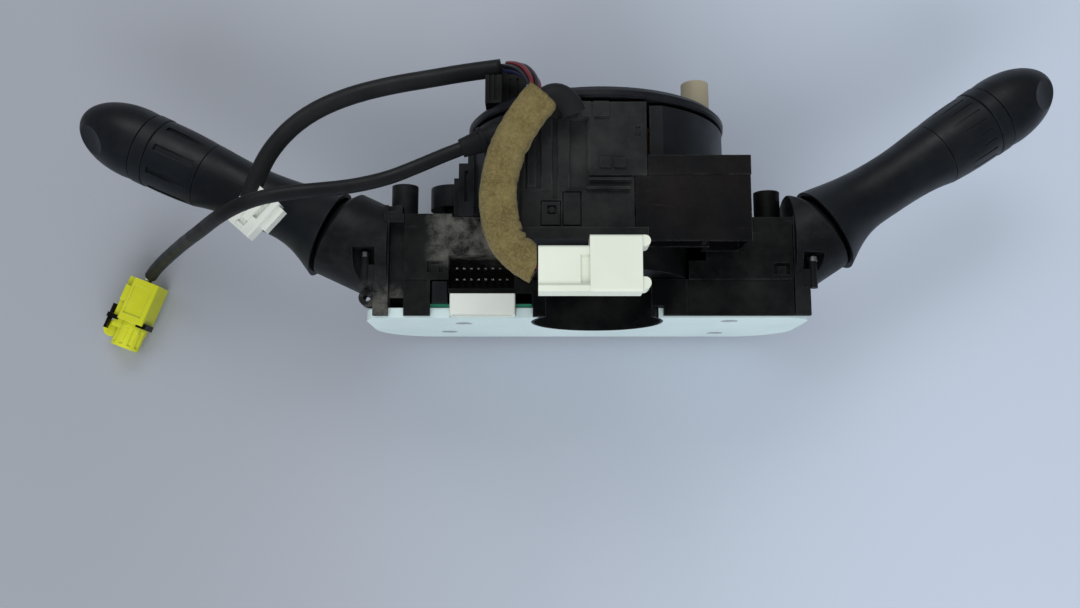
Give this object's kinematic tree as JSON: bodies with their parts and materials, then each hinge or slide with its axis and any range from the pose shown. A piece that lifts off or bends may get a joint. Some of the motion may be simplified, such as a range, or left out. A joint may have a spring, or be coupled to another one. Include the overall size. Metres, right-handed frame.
{
  "type": "steering column switch module",
  "caption": "Steering column switch module with two stalk switches, a spiral cable rotor with its harness, and a base that carries the steering angle sensor.",
  "frame": {"origin": "on the steering axis, in the outer face of the tray, at the foot of the column bore", "axes": "+Y along the steering axis towards the driver, +Z out of the harness side (up as it lies on a table), +X towards the longer-reaching right stalk as seen in the picture"},
  "size_m": [0.4088, 0.1142, 0.1163],
  "materials": {
    "black_plastic": "fine matt grain, satin where handled",
    "gloss_black": "glossy",
    "tray_white": "bluish white, satin",
    "ivory_plastic": "satin, slightly translucent",
    "white_plastic": "satin",
    "cream_plastic": "satin",
    "yellow_plastic": "satin",
    "board_green": "solder mask",
    "gear_white": "smooth",
    "black_rubber": "matt",
    "tube_black": "satin cloth-taped tube",
    "felt_tan": "napped felt",
    "ribbon_film": "film",
    "tinned_metal": "tinned",
    "steel": "zinc plated",
    "spring_dark": "blackened"
  },
  "bodies": {
    "base": {"base_housing": "black_plastic", "pcb_tray": "tray_white", "circuit_board": "board_green", "board_header": "white_plastic", "header_pins": "tinned_metal", "board_relay": "white_plastic", "pocket_contacts": "tinned_metal", "tray_screws": "steel", "stator_body": "black_plastic", "lug_screws": "steel", "ribbed_cover": "black_plastic", "connector_box": "gloss_black", "box_contacts": "tinned_metal", "sensor_case": "black_plastic", "sensor_lid": "black_plastic", "sensor_board": "board_green", "sensor_chips": "black_plastic", "cable_grommet": "black_rubber", "felt_sleeve": "felt_tan", "ivory_plug": "ivory_plastic", "white_plug": "white_plastic", "yellow_plug": "yellow_plastic", "shorting_clip": "spring_dark", "rubber_elbow": "black_rubber", "thick_tube": "tube_black", "thin_cable": "tube_black", "wire_bundle": "tube_black", "left_switch_case": "black_plastic", "left_case_screw": "steel", "right_switch_case": "black_plastic", "right_case_screw": "steel"},
    "rotor": {"rotor_disc": "black_plastic", "rotor_hub": "black_plastic", "cable_guide": "black_plastic", "drive_pin": "cream_plastic", "spiral_ribbon": "ribbon_film", "sensor_ring_gear": "gear_white", "cancel_cam": "gear_white"},
    "gear_a": {"measuring_gear_a": "gear_white"},
    "gear_b": {"measuring_gear_b": "gear_white"},
    "left_rocker": {"left_yoke": "gear_white", "left_pivot_pin": "steel"},
    "left_stalk": {"left_lever": "black_plastic", "left_grip_collar": "black_plastic"},
    "left_ring": {"left_grip_ring": "black_plastic"},
    "left_cap": {"left_end_cap": "black_plastic"},
    "left_plunger": {"left_detent_plunger": "steel"},
    "right_rocker": {"right_yoke": "gear_white", "right_pivot_pin": "steel"},
    "right_stalk": {"right_lever": "black_plastic", "right_grip_collar": "black_plastic"},
    "right_ring": {"right_grip_ring": "black_plastic"},
    "right_cap": {"right_end_cap": "black_plastic"},
    "right_plunger": {"right_detent_plunger": "steel"}
  },
  "joints": [
    {"name": "rotor_turn", "type": "hinge", "parent": "base", "child": "rotor", "pos_m": [0, 0.06, 0], "axis": [0, 1, 0], "range_deg": [-900, 900], "deforming": ["thick_tube", "wire_bundle"]},
    {"name": "gear_a_turn", "type": "hinge", "parent": "base", "child": "gear_a", "pos_m": [-0.01214, 0.0196, -0.03004], "axis": [0, 1, 0], "range_deg": [-3660, 3660]},
    {"name": "gear_b_turn", "type": "hinge", "parent": "base", "child": "gear_b", "pos_m": [0.0135, 0.0196, -0.03033], "axis": [0, 1, 0], "range_deg": [-3255, 3255]},
    {"name": "left_rock", "type": "hinge", "parent": "base", "child": "left_rocker", "pos_m": [-0.087, 0.0255, 0], "axis": [0, 1, 0], "range_deg": [-6.5, 6.5]},
    {"name": "left_pull", "type": "hinge", "parent": "left_rocker", "child": "left_stalk", "pos_m": [-0.087, 0.0255, 0], "axis": [0, 0, -1], "range_deg": [-1, 5], "stiffness_Nm_per_rad": 3},
    {"name": "left_ring_turn", "type": "hinge", "parent": "left_stalk", "child": "left_ring", "pos_m": [-0.08649, 0.02659, 0], "axis": [-0.9063, 0.4226, 0], "range_deg": [0, 50]},
    {"name": "left_cap_turn", "type": "hinge", "parent": "left_stalk", "child": "left_cap", "pos_m": [-0.08649, 0.02659, 0], "axis": [-0.9063, 0.4226, 0], "range_deg": [0, 60]},
    {"name": "left_plunger_slide", "type": "slide", "parent": "left_stalk", "child": "left_plunger", "axis": [-0.9063, 0.4226, 0], "range_m": [0, 0.0005], "stiffness_N_per_m": 400},
    {"name": "right_rock", "type": "hinge", "parent": "base", "child": "right_rocker", "pos_m": [0.0735, 0.0242, 0], "axis": [0, 1, 0], "range_deg": [-9, 5]},
    {"name": "right_pull", "type": "hinge", "parent": "right_rocker", "child": "right_stalk", "pos_m": [0.0735, 0.0242, 0], "axis": [0, 0, 1], "range_deg": [-1, 5], "stiffness_Nm_per_rad": 3},
    {"name": "right_ring_turn", "type": "hinge", "parent": "right_stalk", "child": "right_ring", "pos_m": [0.07284, 0.0252, 0], "axis": [0.8339, 0.5519, 0], "range_deg": [0, 120]},
    {"name": "right_cap_turn", "type": "hinge", "parent": "right_stalk", "child": "right_cap", "pos_m": [0.07284, 0.0252, 0], "axis": [0.8339, 0.5519, 0], "range_deg": [-30, 60]},
    {"name": "right_plunger_slide", "type": "slide", "parent": "right_stalk", "child": "right_plunger", "axis": [0.8339, 0.5519, 0], "range_m": [0, 0.0005], "stiffness_N_per_m": 400}
  ],
  "couplings": [
    {"joint": "gear_a_turn", "follows": "rotor_turn", "ratio": -4.0625},
    {"joint": "gear_b_turn", "follows": "rotor_turn", "ratio": -3.6111}
  ]
}
